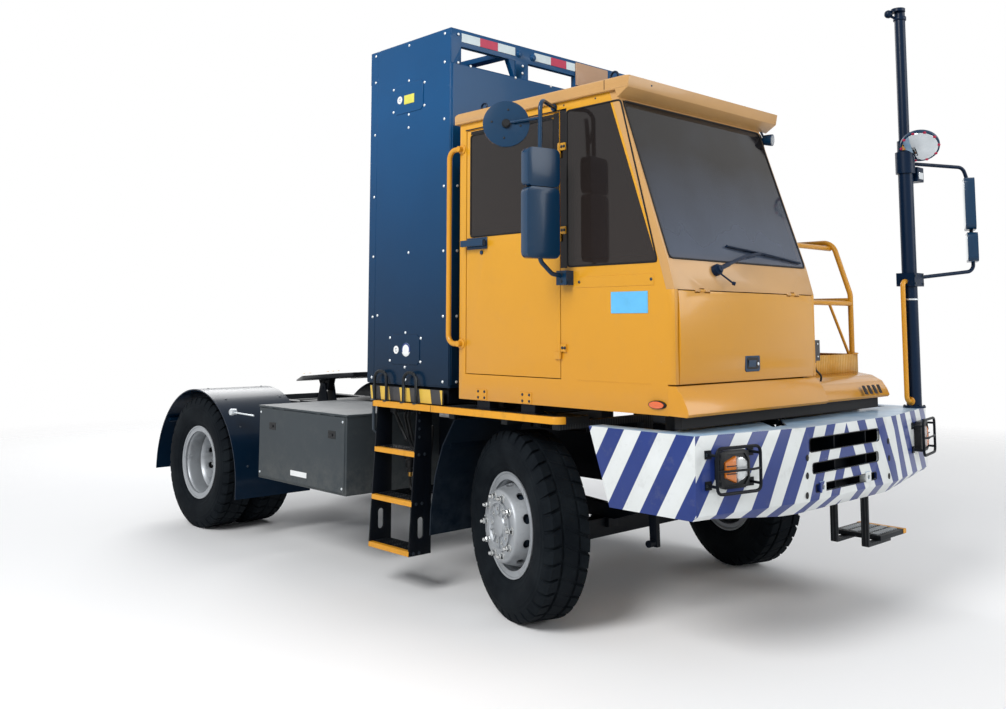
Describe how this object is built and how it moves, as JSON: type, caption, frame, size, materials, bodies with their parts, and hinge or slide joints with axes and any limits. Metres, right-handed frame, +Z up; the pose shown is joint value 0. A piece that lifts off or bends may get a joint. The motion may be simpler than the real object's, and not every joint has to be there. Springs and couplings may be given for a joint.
{
  "type": "terminal tractor",
  "caption": "Battery-electric terminal tractor with an offset forward-control cab, a tall battery tower, a striped front bumper, mast mirrors and a trailer coupling at the rear.",
  "frame": {"origin": "On the ground under the middle of the whole vehicle, mirrors included.", "axes": "Forward is -Y, the vehicle's left is +X, up is +Z; the wheels stand on z = 0."},
  "size_m": [3.3043, 6.0464, 3.762],
  "materials": {
    "ochre_paint": "gloss",
    "tower_blue_paint": "satin",
    "chassis_black": "satin",
    "locker_grey": "satin",
    "bumper_white": "gloss",
    "rail_yellow": "gloss",
    "wheel_silver": "satin",
    "tyre_black": "matt",
    "dark_glass": "tinted",
    "seat_cloth": "woven",
    "cabin_plastic": "grained",
    "lamp_black": "satin",
    "mirror_blue": "gloss",
    "bare_steel": "greased",
    "roof_tan": "satin"
  },
  "bodies": {
    "root": {"chassis_rail_left": "chassis_black", "chassis_rail_right": "chassis_black", "cross_members": "chassis_black", "front_axle_beam": "chassis_black", "front_springs": "chassis_black", "rear_axle": "chassis_black", "drive_motor": "chassis_black", "propshaft": "chassis_black", "front_bumper": "bumper_white", "headlamps": "lamp_black", "cab_floor": "ochre_paint", "cab_left_wall": "ochre_paint", "cab_right_wall": "ochre_paint", "cab_rear_wall": "ochre_paint", "windshield_frame": "ochre_paint", "cab_roof": "ochre_paint", "cab_glass": "dark_glass", "front_skirt": "ochre_paint", "driver_seat": "seat_cloth", "dashboard": "cabin_plastic", "steering_wheel": "cabin_plastic", "tower_cover_plate": "roof_tan", "cab_supports": "chassis_black", "left_deck": "rail_yellow", "deck_railing": "rail_yellow", "battery_cabinet": "tower_blue_paint", "tower_parapet": "tower_blue_paint", "tower_base": "chassis_black", "right_walkway": "chassis_black", "ladder": "chassis_black", "front_mudguards": "chassis_black", "side_lockers": "locker_grey", "air_tanks": "chassis_black", "rear_fender_left": "tower_blue_paint", "rear_fender_right": "tower_blue_paint", "coupling_base": "chassis_black", "steering_gear": "chassis_black", "left_front_step": "chassis_black", "right_mirror_arm": "mirror_blue", "right_mirrors": "mirror_blue", "left_mast": "tower_blue_paint", "left_mirrors": "mirror_blue", "grab_rails": "rail_yellow"},
    "knuckle_right": {"steering_knuckle_right": "chassis_black"},
    "knuckle_left": {"steering_knuckle_left": "chassis_black"},
    "steering_tie_rod": {"tie_rod": "chassis_black"},
    "front_right_wheel": {"front_tyre_right": "tyre_black", "front_wheel_right": "wheel_silver"},
    "front_left_wheel": {"front_tyre_left": "tyre_black", "front_wheel_left": "wheel_silver"},
    "rear_right_wheels": {"rear_tyres_right": "tyre_black", "rear_wheels_right": "wheel_silver"},
    "rear_left_wheels": {"rear_tyres_left": "tyre_black", "rear_wheels_left": "wheel_silver"},
    "driver_door": {"cab_door": "ochre_paint", "door_glass": "dark_glass"},
    "service_flap": {"front_hatch": "ochre_paint"},
    "coupling": {"coupling_plate": "bare_steel"}
  },
  "joints": [
    {"name": "steer_right", "type": "hinge", "parent": "root", "child": "knuckle_right", "pos_m": [-0.905, -1.4165, 0.532], "axis": [0, 0, 1], "range_deg": [-20.5, 55.5]},
    {"name": "steer_left", "type": "hinge", "parent": "root", "child": "knuckle_left", "pos_m": [0.905, -1.4165, 0.532], "axis": [0, 0, 1], "range_deg": [-20.5, 55.5]},
    {"name": "tie_rod_pivot", "type": "hinge", "parent": "knuckle_right", "child": "steering_tie_rod", "pos_m": [-0.85989, -1.27344, 0.391], "axis": [0, 0, 1], "range_deg": [-55.5, 20.5]},
    {"name": "front_right_wheel_spin", "type": "hinge", "parent": "knuckle_right", "child": "front_right_wheel", "pos_m": [-0.905, -1.4165, 0.532], "axis": [0.9537, -0.3007, 0], "continuous": true},
    {"name": "front_left_wheel_spin", "type": "hinge", "parent": "knuckle_left", "child": "front_left_wheel", "pos_m": [0.905, -1.4165, 0.532], "axis": [0.9537, -0.3007, 0], "continuous": true},
    {"name": "rear_right_wheels_spin", "type": "hinge", "parent": "root", "child": "rear_right_wheels", "pos_m": [-0.96, 2.2935, 0.532], "axis": [1, 0, 0], "continuous": true},
    {"name": "rear_left_wheels_spin", "type": "hinge", "parent": "root", "child": "rear_left_wheels", "pos_m": [0.96, 2.2935, 0.532], "axis": [1, 0, 0], "continuous": true},
    {"name": "door_hinge", "type": "hinge", "parent": "root", "child": "driver_door", "pos_m": [-1.24, -1.8585, 1.972], "axis": [0, 0, 1], "range_deg": [0, 60]},
    {"name": "flap_hinge", "type": "hinge", "parent": "root", "child": "service_flap", "pos_m": [-0.57, -2.6145, 1.8465], "axis": [-1, 0, 0], "range_deg": [0, 85]},
    {"name": "coupling_tilt", "type": "hinge", "parent": "root", "child": "coupling", "pos_m": [0, 1.7835, 1.153], "axis": [1, 0, 0], "range_deg": [-7.4, 16.6]}
  ],
  "couplings": [
    {"joint": "steer_left", "follows": "steer_right", "ratio": 1},
    {"joint": "tie_rod_pivot", "follows": "steer_right", "ratio": -1}
  ]
}
